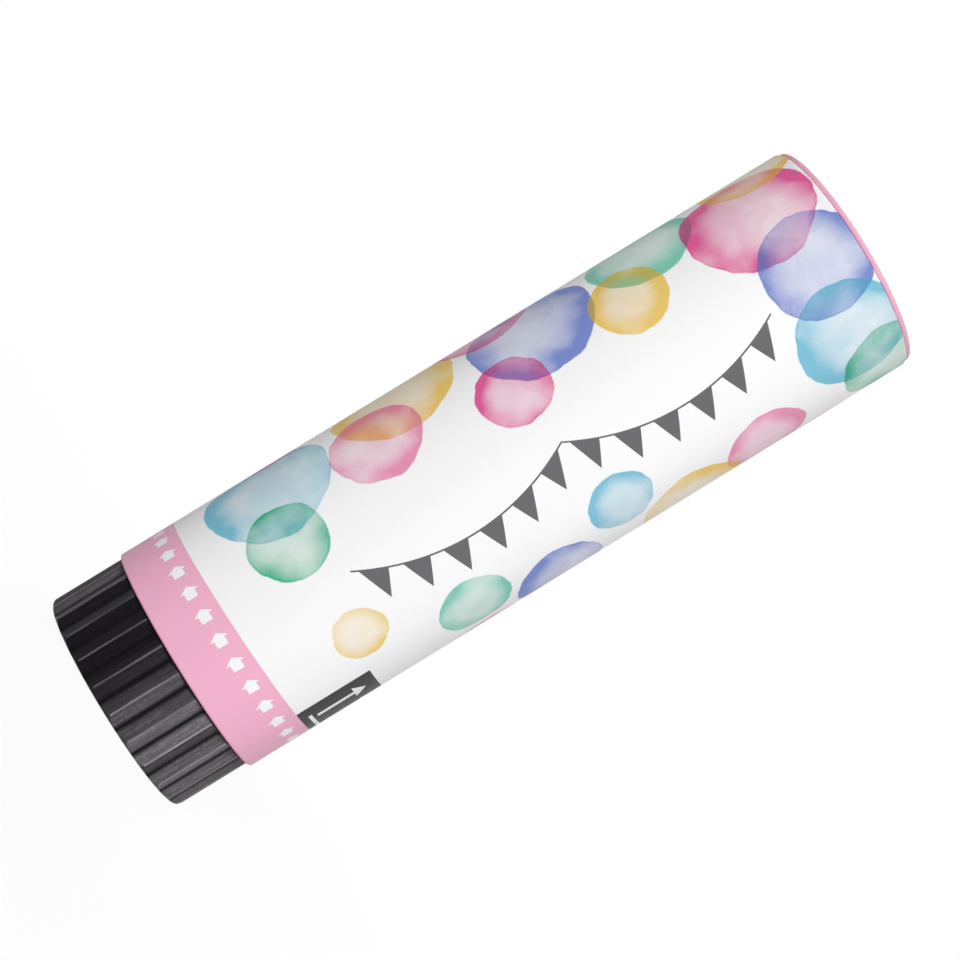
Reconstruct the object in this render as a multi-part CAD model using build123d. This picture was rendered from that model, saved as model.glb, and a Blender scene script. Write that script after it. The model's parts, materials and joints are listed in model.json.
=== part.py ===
from build123d import *
import math
import os

# Hand-held confetti popper. Twisting the ribbed base turns three ramps under the arms of a pin, the pin
# lifts the valve of a small air bottle, and the air drives a wad, the confetti and the lid out.
# Millimetres, +Z along the tube towards the lid, origin at the middle of the face that it stands on.

# Fits
GLUE_FILM = 0.05
RUNNING_GAP = 0.3
GUIDE_GAP = 0.08
OVERRUN = 1.0

# Card tube and its printed wrap
TUBE_DIAMETER = 50.0
TUBE_LENGTH = 156.0
TUBE_WALL = 1.25
WRAP_THICKNESS = 0.25
TUBE_EDGE_RADIUS = 0.7

# Twist base: ribbed cup
BASE_INSET = 0.8
BASE_HEIGHT = 16.5
BASE_WALL = 1.8
BASE_FLOOR = 2.4
BASE_FOOT_RADIUS = 1.4
BASE_RIM_RADIUS = 0.25
FOOT_RING_WIDTH = 4.2
FOOT_RECESS_DEPTH = 0.6
RIB_COUNT = 24
RIB_DEPTH = 1.0
RIB_CREST_RADIUS = 0.2
RIB_HOLLOW_RADIUS = 0.6
RIB_START_ANGLE = 3.4
SNAP_DEPTH = 0.9
SNAP_HEIGHT = 1.6
SNAP_DROP = 1.2

# Twist base: ramps and stops
TWIST_ANGLE = 75.0
VALVE_LIFT = 3.0
ARM_COUNT = 3
ARM_START_ANGLE = 30.0
RAMP_CLEARANCE = 2.0
RAMP_STOP_GAP = 1.8
RAMP_REST_HEIGHT = 1.2
RAMP_MARGIN_ANGLE = 10.0
RAMP_STEPS = 16
CAM_GAP = 0.12
STOP_WIDTH = 3.0
STOP_HEIGHT = 4.0
STOP_POST_ANGLE = 12.0
STOP_KEY_DEPTH = 2.4
STOP_KEY_ANGLE = 10.0
STOP_MARGIN_ANGLE = 1.5

# Base plug, glued into the tube
DECK_THICKNESS = 2.8
SLEEVE_HEIGHT = 22.0
SLEEVE_WALL = 1.8
SKIRT_WALL = 2.4
GUIDE_WALL = 3.0
BOSS_WALL = 2.0
BOSS_GRIP = 6.0
LEDGE_WIDTH = 2.6
PORT_COUNT = 4
PORT_WIDTH = 5.0
PORT_HEIGHT = 3.0

# Release pin and its seal
PIN_DIAMETER = 5.0
PIN_STANDOUT = 1.4
PIN_EDGE_RADIUS = 0.4
ARM_DIAMETER = 2.6
O_RING_SECTION = 1.2
O_RING_MARGIN = 1.8

# Air bottle, neck down
GAS_GAP = 5.95
BOTTLE_LENGTH = 64.0
BOTTLE_WALL = 0.8
BOTTLE_HEEL_RADIUS = 3.0
SHOULDER_HEIGHT = 9.0
SHOULDER_RADIUS = 4.0
NECK_DIAMETER = 15.2
NECK_LENGTH = 8.0
NECK_BEAD_PROUD = 0.9
NECK_BEAD_HEIGHT = 2.4
NECK_BEAD_RADIUS = 0.8
PUNT_RIM_WIDTH = 5.5
PUNT_DEPTH = 4.0
PUNT_EDGE_RADIUS = 1.5

# Valve in the bottle's neck
FERRULE_WALL = 0.6
FERRULE_HOLE_GAP = 1.8
GASKET_THICKNESS = 1.0
VALVE_FLANGE_THICKNESS = 1.4
VALVE_BORE_GAP = 0.7
SEAT_HEIGHT = 7.0
CAGE_WALL = 1.55
WINDOW_COUNT = 4
WINDOW_WIDTH = 4.0
WINDOW_SILL = 2.8
WINDOW_HEIGHT = 5.0
STEM_DIAMETER = 3.6
HEAD_GAP = 0.6
HEAD_THICKNESS = 1.8
SEAL_THICKNESS = 1.0
SPRING_BOSS_GAP = 0.6
SPRING_BOSS_HEIGHT = 2.0
SPRING_MEAN_DIAMETER = 6.6
SPRING_WIRE = 0.6
SPRING_LENGTH = 7.5
SPRING_TURNS = 5
RETAINER_THICKNESS = 1.2
RETAINER_HOLE_DIAMETER = 3.2

# Collar that centres the bottle's closed end
COLLAR_HEIGHT = 4.0
COLLAR_DROP = 6.0
COLLAR_RIM = 1.4
COLLAR_SPOKE_COUNT = 6
COLLAR_SPOKE_ANGLE = 14.0

# Wad, confetti and lid
WAD_CARD_THICKNESS = 1.5
WAD_FELT_THICKNESS = 5.0
WAD_EDGE_RADIUS = 0.6
SLIP_WIDTH_SHARE = 0.734
SLIP_GAP = 0.3
SLIP_LAYERS = 2
BUNDLES_PER_COLUMN = 3
CONFETTI_COLOURS = 4
CHARGE_GAP = 0.5
LID_INSET = 0.4
LID_COVER_THICKNESS = 1.2
LID_EDGE_RADIUS = 0.45
LID_PLUG_THICKNESS = 3.0
LID_PLUG_EDGE_RADIUS = 0.8

# Radii that pieces share
tube_radius = TUBE_DIAMETER / 2
wrap_inner = tube_radius - WRAP_THICKNESS
bore = wrap_inner - GLUE_FILM - TUBE_WALL
base_radius = tube_radius - BASE_INSET
cup_inner = base_radius - RIB_DEPTH - BASE_WALL
skirt_outer = cup_inner - RUNNING_GAP
skirt_inner = skirt_outer - SKIRT_WALL
sleeve_outer = bore - GLUE_FILM
pin_radius = PIN_DIAMETER / 2
arm_radius = ARM_DIAMETER / 2
guide_bore = pin_radius + GUIDE_GAP
guide_outer = guide_bore + GUIDE_WALL
ramp_inner = guide_outer + RAMP_CLEARANCE
stop_outer = skirt_inner - RUNNING_GAP
ramp_outer = stop_outer - STOP_WIDTH - RAMP_STOP_GAP
bottle_radius = bore - GAS_GAP
neck_radius = NECK_DIAMETER / 2
neck_inner = neck_radius - BOTTLE_WALL
bead_radius = neck_radius + NECK_BEAD_PROUD
ferrule_inner = bead_radius + GLUE_FILM
ferrule_outer = ferrule_inner + FERRULE_WALL
boss_bore = ferrule_outer + GLUE_FILM
boss_outer = boss_bore + BOSS_WALL
valve_radius = neck_inner - GLUE_FILM
valve_bore = pin_radius + VALVE_BORE_GAP
cage_bore = valve_radius - CAGE_WALL
stem_radius = STEM_DIAMETER / 2
head_radius = cage_bore - HEAD_GAP
charge_radius = bore - RUNNING_GAP
slip_width = charge_radius * SLIP_WIDTH_SHARE

# Heights that pieces share
tube_bottom = BASE_HEIGHT + RUNNING_GAP
tube_top = tube_bottom + TUBE_LENGTH
inside_bottom = BASE_FLOOR + RUNNING_GAP
arm_height = BASE_FLOOR + RAMP_REST_HEIGHT + CAM_GAP + arm_radius
slot_top = arm_height + VALVE_LIFT + arm_radius + RUNNING_GAP
snap_top = BASE_HEIGHT - SNAP_DROP
snap_bottom = snap_top - SNAP_HEIGHT
deck_top = tube_bottom + DECK_THICKNESS
pin_top = deck_top + PIN_STANDOUT
o_ring_height = slot_top + O_RING_MARGIN
ledge_top = deck_top + PORT_HEIGHT
valve_flange_bottom = ledge_top + FERRULE_WALL
valve_flange_top = valve_flange_bottom + VALVE_FLANGE_THICKNESS
mouth = valve_flange_top + GASKET_THICKNESS
neck_top = mouth + NECK_LENGTH
shoulder_top = neck_top + SHOULDER_HEIGHT
bottle_top = mouth + BOTTLE_LENGTH
seat = valve_flange_bottom + SEAT_HEIGHT
head_bottom = seat + SEAL_THICKNESS
head_top = head_bottom + HEAD_THICKNESS
retainer_bottom = head_top + SPRING_LENGTH
cage_top = retainer_bottom + RETAINER_THICKNESS
felt_bottom = bottle_top + WAD_CARD_THICKNESS
charge_bottom = felt_bottom + WAD_FELT_THICKNESS
lid_plug_bottom = tube_top - LID_PLUG_THICKNESS

# Directions that pieces share
arm_angles = [ARM_START_ANGLE + k * 360 / ARM_COUNT for k in range(ARM_COUNT)]


def turned(*corners):
    """Solid turned about Z from (radius, height, rounding) corners."""
    points = [(radius, 0, height) for radius, height, rounding in corners]
    rounds = [rounding for radius, height, rounding in corners]
    outline = FilletPolyline(*points, radius=rounds, close=True)
    return revolve(make_face(outline), Axis.Z)


def ring(inner, outer, bottom, top, edge=0):
    """Ring about Z, or a disc where inner is 0, with its outer corners rounded."""
    return turned((inner, bottom, 0), (outer, bottom, edge), (outer, top, edge), (inner, top, 0))


def sector(inner, outer, bottom, top, start, sweep):
    """Part of a ring, from the angle start through the angle sweep."""
    section = Polyline((inner, 0, bottom), (outer, 0, bottom), (outer, 0, top), (inner, 0, top), close=True)
    return Rot(0, 0, start) * revolve(make_face(section), Axis.Z, sweep)


def radial_bar(reach, width, bottom, top, angle):
    """Bar from the axis outwards at an angle, used to cut slots and windows."""
    bar = Pos(reach / 2, 0, (bottom + top) / 2) * Box(reach, width, top - bottom)
    return Rot(0, 0, angle) * bar


def cardboard_tube():
    """Rolled card tube, with its outer edges eased so that the wrap turns in over them."""
    layer = WRAP_THICKNESS + GLUE_FILM
    edge = max(TUBE_EDGE_RADIUS - layer, 0)
    return ring(bore, tube_radius - layer, tube_bottom + layer, tube_top - layer, edge)


def printed_wrap():
    """Printed paper round the tube, turned in over both ends as far as the bore."""
    outside = ring(bore, tube_radius, tube_bottom, tube_top, TUBE_EDGE_RADIUS)
    edge = max(TUBE_EDGE_RADIUS - WRAP_THICKNESS, 0)
    inside = ring(bore - OVERRUN, wrap_inner, tube_bottom + WRAP_THICKNESS, tube_top - WRAP_THICKNESS, edge)
    return outside - inside


def ribbed_outline():
    """Outline of the twist base: a narrow crest on each rib and a narrow hollow between each two."""
    points = []
    rounds = []
    for k in range(2 * RIB_COUNT):
        on_crest = k % 2 == 0
        radius = base_radius if on_crest else base_radius - RIB_DEPTH
        angle = math.radians(RIB_START_ANGLE + k * 180 / RIB_COUNT)
        points.append((radius * math.cos(angle), radius * math.sin(angle)))
        rounds.append(RIB_CREST_RADIUS if on_crest else RIB_HOLLOW_RADIUS)
    return make_face(FilletPolyline(*points, radius=rounds, close=True))


def ramp(arm_angle):
    """Helical ramp under one pin arm, rising with the angle."""
    sweep = TWIST_ANGLE + 2 * RAMP_MARGIN_ANGLE
    root = BASE_FLOOR / 2
    sections = []
    for k in range(RAMP_STEPS + 1):
        angle = k * sweep / RAMP_STEPS - RAMP_MARGIN_ANGLE
        top = BASE_FLOOR + RAMP_REST_HEIGHT + VALVE_LIFT * angle / TWIST_ANGLE
        section = Polyline(
            (ramp_inner, 0, root),
            (ramp_outer, 0, root),
            (ramp_outer, 0, top),
            (ramp_inner, 0, top),
            close=True,
        )
        sections.append(Rot(0, 0, arm_angle + angle) * make_face(section))
    return loft(sections, ruled=True)


def stop_post(start):
    """Post on the base's floor that meets the plug's key at one end of the twist."""
    top = BASE_FLOOR + STOP_HEIGHT
    return sector(stop_outer - STOP_WIDTH, stop_outer, BASE_FLOOR / 2, top, start, STOP_POST_ANGLE)


def twist_base():
    """Ribbed cup that is gripped and turned: snap bead inside, ramps and stop posts on its floor."""
    body = extrude(ribbed_outline(), BASE_HEIGHT) & turned(
        (0, 0, 0),
        (base_radius, 0, BASE_FOOT_RADIUS),
        (base_radius, BASE_HEIGHT, BASE_RIM_RADIUS),
        (0, BASE_HEIGHT, 0),
    )
    body -= ring(0, cup_inner, BASE_FLOOR, BASE_HEIGHT + OVERRUN)
    body -= ring(0, base_radius - RIB_DEPTH - FOOT_RING_WIDTH, -OVERRUN, FOOT_RECESS_DEPTH)
    body += turned(
        (cup_inner + BASE_WALL / 2, snap_bottom, 0),
        (cup_inner, snap_bottom, 0),
        (cup_inner - SNAP_DEPTH, (snap_bottom + snap_top) / 2, 0),
        (cup_inner, snap_top, 0),
        (cup_inner + BASE_WALL / 2, snap_top, 0),
    )
    for angle in arm_angles:
        body += ramp(angle)
    half_key = STOP_KEY_ANGLE / 2 + STOP_MARGIN_ANGLE
    body += stop_post(-half_key - STOP_POST_ANGLE)
    body += stop_post(half_key + TWIST_ANGLE)
    return body


def bottle_boss():
    """Socket on the plug's deck that grips the crimped neck, on pillars with gas ports between them."""
    boss = ring(boss_bore - LEDGE_WIDTH, boss_outer, deck_top, ledge_top + BOSS_GRIP)
    boss -= ring(0, boss_bore, ledge_top, ledge_top + BOSS_GRIP + OVERRUN)
    for k in range(PORT_COUNT):
        boss -= radial_bar(boss_outer + OVERRUN, PORT_WIDTH, deck_top, ledge_top, k * 360 / PORT_COUNT)
    return boss


def base_plug():
    """Fixed plug: deck and sleeve in the tube, skirt in the base, pin guide and bottle boss."""
    plug = ring(guide_bore, sleeve_outer, tube_bottom, deck_top)
    plug += ring(sleeve_outer - SLEEVE_WALL, sleeve_outer, tube_bottom, tube_bottom + SLEEVE_HEIGHT)
    plug += ring(skirt_inner, skirt_outer, inside_bottom, deck_top)
    plug += ring(guide_bore, guide_outer, inside_bottom, deck_top)
    plug += sector(
        skirt_inner - STOP_KEY_DEPTH, skirt_inner + SKIRT_WALL / 2, inside_bottom, deck_top,
        -STOP_KEY_ANGLE / 2, STOP_KEY_ANGLE
    )
    plug += bottle_boss()
    groove_floor = cup_inner - SNAP_DEPTH - RUNNING_GAP
    plug -= ring(groove_floor, cup_inner + OVERRUN, snap_bottom - RUNNING_GAP, snap_top + RUNNING_GAP)
    slot_width = ARM_DIAMETER + 2 * GUIDE_GAP
    for angle in arm_angles:
        plug -= radial_bar(guide_outer + OVERRUN, slot_width, inside_bottom - OVERRUN, slot_top, angle)
    return plug


def release_pin():
    """Pin that slides in the plug's guide, with three arms that ride on the ramps."""
    pin = ring(0, pin_radius, inside_bottom, pin_top, PIN_EDGE_RADIUS)
    for angle in arm_angles:
        arm = Pos(0, 0, arm_height) * Rot(0, 90, 0) * extrude(Circle(arm_radius), ramp_outer)
        pin += Rot(0, 0, angle) * arm
    groove_floor = pin_radius + GUIDE_GAP / 2 - O_RING_SECTION - GLUE_FILM
    groove_bottom = o_ring_height - O_RING_SECTION / 2 - GLUE_FILM
    groove_top = o_ring_height + O_RING_SECTION / 2 + GLUE_FILM
    return pin - ring(groove_floor, pin_radius + OVERRUN, groove_bottom, groove_top)


def pin_o_ring():
    """Rubber ring in the pin's groove, just clear of the guide's bore."""
    section_radius = O_RING_SECTION / 2
    middle = pin_radius + GUIDE_GAP / 2 - section_radius
    return Pos(0, 0, o_ring_height) * Torus(middle, section_radius)


def bottle_form(inset, open_end):
    """The bottle's outside, or its inside where inset is the wall."""
    neck = neck_radius - inset
    body = bottle_radius - inset
    closed_end = bottle_top - inset
    return turned(
        (0, open_end, 0),
        (neck, open_end, 0),
        (neck, neck_top, SHOULDER_RADIUS),
        (body, shoulder_top, SHOULDER_RADIUS),
        (body, closed_end, BOTTLE_HEEL_RADIUS - inset),
        (bottle_radius - PUNT_RIM_WIDTH, closed_end, PUNT_EDGE_RADIUS),
        (0, closed_end - PUNT_DEPTH, 0),
    )


def air_bottle():
    """Thin metal bottle with a rolled bead at its mouth and a hollow closed end."""
    outside = bottle_form(0, mouth)
    outside += ring(0, bead_radius, mouth, mouth + NECK_BEAD_HEIGHT, NECK_BEAD_RADIUS)
    return outside - bottle_form(BOTTLE_WALL, mouth - OVERRUN)


def valve_body():
    """Valve housing in the neck: flange, seat, and a cage with windows above the seat."""
    body = ring(valve_bore, valve_radius, valve_flange_bottom, cage_top)
    body += ring(valve_bore, bead_radius, valve_flange_bottom, valve_flange_top)
    body -= ring(0, cage_bore, seat, cage_top + OVERRUN)
    sill = head_bottom + WINDOW_SILL
    for k in range(WINDOW_COUNT):
        angle = k * 360 / WINDOW_COUNT
        body -= radial_bar(valve_radius + OVERRUN, WINDOW_WIDTH, sill, sill + WINDOW_HEIGHT, angle)
    return body


def neck_gasket():
    """Rubber washer between the valve's flange and the bottle's mouth."""
    return ring(valve_radius + GLUE_FILM, bead_radius, valve_flange_top, mouth)


def crimp_ferrule():
    """Metal band rolled over the neck's bead and under the valve's flange."""
    lip_bottom = mouth + NECK_BEAD_HEIGHT + GLUE_FILM
    band = ring(ferrule_inner, ferrule_outer, ledge_top, lip_bottom + FERRULE_WALL)
    band += ring(valve_bore + FERRULE_HOLE_GAP, ferrule_outer, ledge_top, valve_flange_bottom)
    return band + ring(neck_radius + GLUE_FILM, ferrule_outer, lip_bottom, lip_bottom + FERRULE_WALL)


def valve_poppet():
    """Poppet: stem down to the pin, head over the seat, boss inside the spring."""
    poppet = ring(0, stem_radius, pin_top, head_top)
    poppet += ring(0, head_radius, head_bottom, head_top)
    boss = (SPRING_MEAN_DIAMETER - SPRING_WIRE) / 2 - SPRING_BOSS_GAP
    return poppet + ring(0, boss, head_bottom, head_top + SPRING_BOSS_HEIGHT)


def poppet_seal():
    """Rubber washer under the poppet's head, resting on the seat."""
    return ring(stem_radius + GLUE_FILM, head_radius, seat, head_bottom)


def biarc(start, start_way, end, end_way):
    """Two arcs that leave start along start_way and reach end along end_way."""
    chord = end - start
    along = chord.dot(start_way + end_way)
    spread = 2 * (1 - start_way.dot(end_way))
    reach = (math.sqrt(along**2 + spread * chord.dot(chord)) - along) / spread
    near = start + start_way * reach
    far = end - end_way * reach
    middle = (near + far) * 0.5
    return [TangentArc(start, middle, tangent=start_way), TangentArc(middle, end, tangent=far - near)]


def valve_spring():
    """Coil between the poppet's head and the retainer, one unbroken wire."""
    wire_radius = SPRING_WIRE / 2
    radius = SPRING_MEAN_DIAMETER / 2
    bottom = head_top + wire_radius + GLUE_FILM
    rise = retainer_bottom - wire_radius - GLUE_FILM - bottom
    quarters = 4 * SPRING_TURNS
    climb = rise / (quarters * math.pi / 2)
    places = []
    ways = []
    for k in range(quarters + 1):
        angle = k * math.pi / 2
        places.append(Vector(radius * math.cos(angle), radius * math.sin(angle), bottom + climb * angle))
        ways.append(Vector(-radius * math.sin(angle), radius * math.cos(angle), climb).normalized())
    arcs = []
    for k in range(quarters):
        arcs += biarc(places[k], ways[k], places[k + 1], ways[k + 1])
    section = Plane(origin=places[0], z_dir=ways[0]) * Circle(wire_radius)
    return sweep(section, Wire(arcs))


def spring_retainer():
    """Disc that closes the valve's cage and holds the spring down."""
    return ring(RETAINER_HOLE_DIAMETER / 2, cage_bore - GLUE_FILM, retainer_bottom, cage_top)


def bottle_collar():
    """Spoked collar that holds the bottle's closed end in the middle of the tube and lets the gas past."""
    top = bottle_top - COLLAR_DROP
    bottom = top - COLLAR_HEIGHT
    inner = bottle_radius + GLUE_FILM
    outer = bore - GLUE_FILM
    collar = ring(inner, outer, bottom, top)
    pitch = 360 / COLLAR_SPOKE_COUNT
    for k in range(COLLAR_SPOKE_COUNT):
        collar -= sector(
            inner + COLLAR_RIM, outer - COLLAR_RIM, bottom - OVERRUN, top + OVERRUN,
            k * pitch + COLLAR_SPOKE_ANGLE / 2, pitch - COLLAR_SPOKE_ANGLE
        )
    return collar


def wad_card():
    """Card disc on the bottle's closed end, which the gas pushes on."""
    return ring(0, charge_radius, bottle_top, felt_bottom)


def wad_felt():
    """Felt disc on the card disc, which keeps the gas behind the confetti."""
    return ring(0, charge_radius, felt_bottom, charge_bottom, WAD_EDGE_RADIUS)


def slip_bundles():
    """Bundles of upright paper slips: per layer two columns, and a bundle on each side of them."""
    length = (lid_plug_bottom - CHARGE_GAP - charge_bottom) / SLIP_LAYERS
    column_outer = SLIP_GAP / 2 + slip_width
    half_depth = math.sqrt(charge_radius**2 - column_outer**2)
    side_reach = math.sqrt(charge_radius**2 - (slip_width / 2) ** 2)
    depth = (2 * half_depth - (BUNDLES_PER_COLUMN - 1) * SLIP_GAP) / BUNDLES_PER_COLUMN
    bundles = []
    for layer in range(SLIP_LAYERS):
        middle = charge_bottom + (layer + 1 / 2) * length
        turn = Rot(0, 0, layer * 90)
        for side in (-1, 1):
            x = side * (SLIP_GAP + slip_width) / 2
            for k in range(BUNDLES_PER_COLUMN):
                y = (k - (BUNDLES_PER_COLUMN - 1) / 2) * (depth + SLIP_GAP)
                bundles.append(turn * Pos(x, y, middle) * Box(slip_width, depth, length))
            for reach, across in ((half_depth, 90), (column_outer, 0)):
                thickness = side_reach - reach - SLIP_GAP
                place = side * (reach + SLIP_GAP + thickness / 2)
                bundle = Pos(place, 0, middle) * Box(thickness, slip_width, length)
                bundles.append(turn * Rot(0, 0, across) * bundle)
    return bundles


def confetti(colour):
    """Every fourth bundle, the colours following each other round the charge."""
    return Compound([bundle.solid() for bundle in slip_bundles()[colour::CONFETTI_COLOURS]])


def lid_plug():
    """Card disc that presses into the mouth of the tube."""
    return ring(0, charge_radius, lid_plug_bottom, tube_top, LID_PLUG_EDGE_RADIUS)


def lid_cover():
    """Card disc glued on the lid's plug, resting on the tube's end."""
    return ring(0, tube_radius - LID_INSET, tube_top, tube_top + LID_COVER_THICKNESS, LID_EDGE_RADIUS)


PIECES = {
    "cardboard_tube": cardboard_tube(),
    "printed_wrap": printed_wrap(),
    "twist_base": twist_base(),
    "base_plug": base_plug(),
    "release_pin": release_pin(),
    "pin_o_ring": pin_o_ring(),
    "air_bottle": air_bottle(),
    "valve_body": valve_body(),
    "neck_gasket": neck_gasket(),
    "crimp_ferrule": crimp_ferrule(),
    "valve_poppet": valve_poppet(),
    "poppet_seal": poppet_seal(),
    "valve_spring": valve_spring(),
    "spring_retainer": spring_retainer(),
    "bottle_collar": bottle_collar(),
    "wad_card": wad_card(),
    "wad_felt": wad_felt(),
    "confetti_pink": confetti(0),
    "confetti_mint": confetti(1),
    "confetti_blue": confetti(2),
    "confetti_yellow": confetti(3),
    "lid_plug": lid_plug(),
    "lid_cover": lid_cover(),
}

os.makedirs("parts", exist_ok=True)
for name, piece in PIECES.items():
    export_step(piece, os.path.join("parts", name + ".step"))
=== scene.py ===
import json
import math
import random

import bmesh
import bpy
from mathutils import Matrix, Vector, noise


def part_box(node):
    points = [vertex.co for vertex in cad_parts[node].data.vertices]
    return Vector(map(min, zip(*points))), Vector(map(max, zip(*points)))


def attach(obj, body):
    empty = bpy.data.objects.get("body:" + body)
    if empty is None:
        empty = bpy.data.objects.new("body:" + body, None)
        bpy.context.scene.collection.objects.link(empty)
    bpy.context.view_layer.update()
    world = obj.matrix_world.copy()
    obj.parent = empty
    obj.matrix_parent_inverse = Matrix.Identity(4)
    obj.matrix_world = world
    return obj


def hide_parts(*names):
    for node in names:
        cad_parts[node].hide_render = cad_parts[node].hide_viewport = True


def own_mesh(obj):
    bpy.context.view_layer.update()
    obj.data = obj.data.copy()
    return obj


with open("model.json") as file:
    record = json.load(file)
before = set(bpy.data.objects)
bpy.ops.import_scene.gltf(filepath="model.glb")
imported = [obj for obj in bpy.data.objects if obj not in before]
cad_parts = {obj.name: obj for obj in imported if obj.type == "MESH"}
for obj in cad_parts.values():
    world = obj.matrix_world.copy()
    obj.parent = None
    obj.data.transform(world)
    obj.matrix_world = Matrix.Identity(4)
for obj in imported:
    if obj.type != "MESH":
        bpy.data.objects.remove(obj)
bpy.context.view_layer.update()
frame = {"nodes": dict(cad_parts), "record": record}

# Confetti popper: printed card tube, ribbed twist base, lid, and what the tube holds.
# Metres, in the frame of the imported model; the print is laid out in millimetres round and along the tube.
MM = 0.001
IMAGE_PIXELS = 960

# Camera, level with the tube's lower third, looking up at its middle, and rolled
VIEW_DISTANCE = 541 * MM
EYE_HEIGHT = 64.0 * MM
VIEW_HEIGHT = 86.6 * MM
VIEW_ROLL = math.radians(58.5)
FOCAL_PIXELS = 2664

# Studio, with lamps given by degrees round the tube from the front, degrees up and distance
AMBIENT_STRENGTH = 0.08
KEY_LAMP = {"turn": -6, "rise": 30, "distance": 8.0, "size": 3.2, "power": 572}
SIDE_LAMP = {"turn": 82, "rise": 6, "distance": 1.0, "size": 0.3, "power": 3.0}
BACK_LAMP = {"turn": 175, "rise": 35, "distance": 2.0, "size": 0.8, "power": 26}
FLOOR_RADIUS = 4.0
FLOOR_SEGMENTS = 64
FLOOR_GAP = 0.02 * MM
FLOOR_WHITE_SHARE = 0.92
FLOOR_SHADOW_START = 0.1
FLOOR_SHADOW_END = 0.6

# Meshes
TURN_STEPS = 216
EDGE_STEPS = 8
SHARP_ANGLE = math.radians(35)
MERGE_DISTANCE = 0.001 * MM

# Wrap, whose lap starts tucked into the sheet and ends as a raised edge along the back
WRAP_SHEET = 0.2 * MM
WRAP_EDGE_RADIUS = 0.5 * MM
WRAP_LIP = 1.2 * MM
WRAP_LAP_ANGLE = math.radians(20)
WRAP_LAP_STEPS = 12
WRAP_LAP_TUCK = 0.018 * MM
WRAP_LAP_RISE = 0.12 * MM

# Lid, discs and felt
LID_EDGE_RADIUS = 0.45 * MM
LID_RING_RADIUS = 21.2 * MM
LID_RING_WIDTH = 1.6 * MM
LID_RING_DEPTH = 0.22 * MM
LID_PLIES = 3
WAD_PLIES = 2
PLY_GROOVE = 0.12 * MM
PLY_BEVEL_SHARE = 0.25
FELT_EDGE_RADIUS = 0.9 * MM
FELT_RINGS = 24
FELT_FUZZ = 0.14 * MM
FELT_PATCH = 0.9 * MM
FELT_FINE_PATCH = 0.3 * MM
FELT_FINE_SHARE = 0.5

# Valve spring
SPRING_WIRE = 0.6 * MM
SPRING_TURNS = 5
SPRING_TURN_STEPS = 36
WIRE_SIDES = 12

# Confetti slips
SLIP_PITCH = 0.36 * MM
SLIP_SHEET = 0.2 * MM
SLIP_STEPS = 8
SLIP_MARGIN = 0.9 * MM
SLIP_STRAY = 0.5 * MM
SLIP_LEAN = 0.8 * MM
SLIP_BOW = 0.12 * MM
SLIP_SEED = 11

# Print, in millimetres round the tube from its front and along it from its lower end
TUBE_RADIUS = 25.0
TUBE_GIRTH = 2 * math.pi * TUBE_RADIUS
PRINT_LEAN_SHARE = 0.033

# Band, with the line of its twist arrows
BAND_HEIGHT = 13.4
BAND_ARROW_COUNT = 28
BAND_ARROW_LINE = 9.75
BAND_ARROW = {"Length": 2.96, "Head Length": 1.36, "Half Shaft": 1.17, "Half Head": 2.05}

# Panel, with a bar and two arrows
PANEL_MIDDLE = math.radians(77.5) * TUBE_RADIUS
PANEL_HALF_WIDTH = 9.6
PANEL_TOP = 30.3
PANEL_BAR_HALF = 6.4
PANEL_BAR_LOW = 15.0
PANEL_BAR_HIGH = 15.8
PANEL_ARROW_ASIDE = 4.6
PANEL_ARROW_START = 16.7
PANEL_ARROW = {"Length": 11.2, "Head Length": 2.7, "Half Shaft": 0.6, "Half Head": 2.5}

# Bunting
BUNTING_START = 38.0
SWAG_COUNT = 2
SWAG_LENGTH = 48.0
SWAG_SAG = 6.5
STRING_PLACE = 2.0
STRING_HALF = 0.2
PENNANT_PITCH = 8.0
PENNANT_HALF = 2.7
PENNANT_LENGTH = 6.8

# Watercolour wash: soft edge, dark line inside it, ink pooled towards it, and clouds in the ink
WASH_EDGE = 0.3
WASH_LINE_START = 0.9
WASH_LINE_END = 0.15
WASH_WOBBLE = 1.1
POOL_REACH_SHARE = 0.6
POOL_INK_SHARES = (0.22, 0.72)
WASH_INK_SHARES = (0.28, 0.5)
LINE_INK_SHARE = 0.12
SECOND_INK_SHARE = 0.07
GRIT_SHARE = 0.14
COVER_SHARE = 0.45
BLOOM_SPAN = (0.32, 0.68)
SECOND_WASH_SPAN = (0.53, 0.56)
WOBBLE_CLOUDS = {"size": 7 * MM, "detail": 3.0}
BLOOM_CLOUDS = {"size": 13 * MM}
GRIT_CLOUDS = {"size": 0.7 * MM}
SECOND_WASH_CLOUDS = {"size": 10 * MM, "roughness": 0.45}

# Grain of a surface: detail of its two sizes of noise, and the span of its tone
COARSE_DETAIL = 3.0
FINE_DETAIL = 1.0
GRAIN_SPAN = (0.3, 0.7)

# Finish of the printed paper; a grain has patches of a coarse and a fine size, a bump has strength and depth
PAPER_SHINE = 0.2
PAPER_GRAIN = (1.2 * MM, 0.18 * MM)
PAPER_ROUGHNESS = (0.44, 0.56)
PAPER_BUMP = (0.25, 0.02 * MM)

# Finish of the base, with scratches that run up its ribs
BASE_SHINE = 0.07
BASE_GRAIN = (0.8 * MM, 0.17 * MM)
BASE_FINE_SHARE = 0.65
BASE_ROUGHNESS = (0.26, 0.5)
BASE_BUMP = (0.4, 0.03 * MM)
SCRATCH_GRAIN = (0.7 * MM, 0.25 * MM)
SCRATCH_STRETCH = (1, 1, 0.04)
SCRATCH_SHARE = 0.6

# Ribs of the base, by their distance from its axis: a worn crest with a painted highlight, and a hollow with
# painted shade
RIB_CREST = 24.14 * MM
# Width of the worn crest line that also carries a painted highlight
RIB_WEAR_AND_HIGHLIGHT = 0.05 * MM
RIB_HOLLOW = 23.2 * MM
# Reach of the painted shade out of the hollows between the ribs
RIB_HOLLOW_SHADE_REACH = 0.3 * MM
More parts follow.
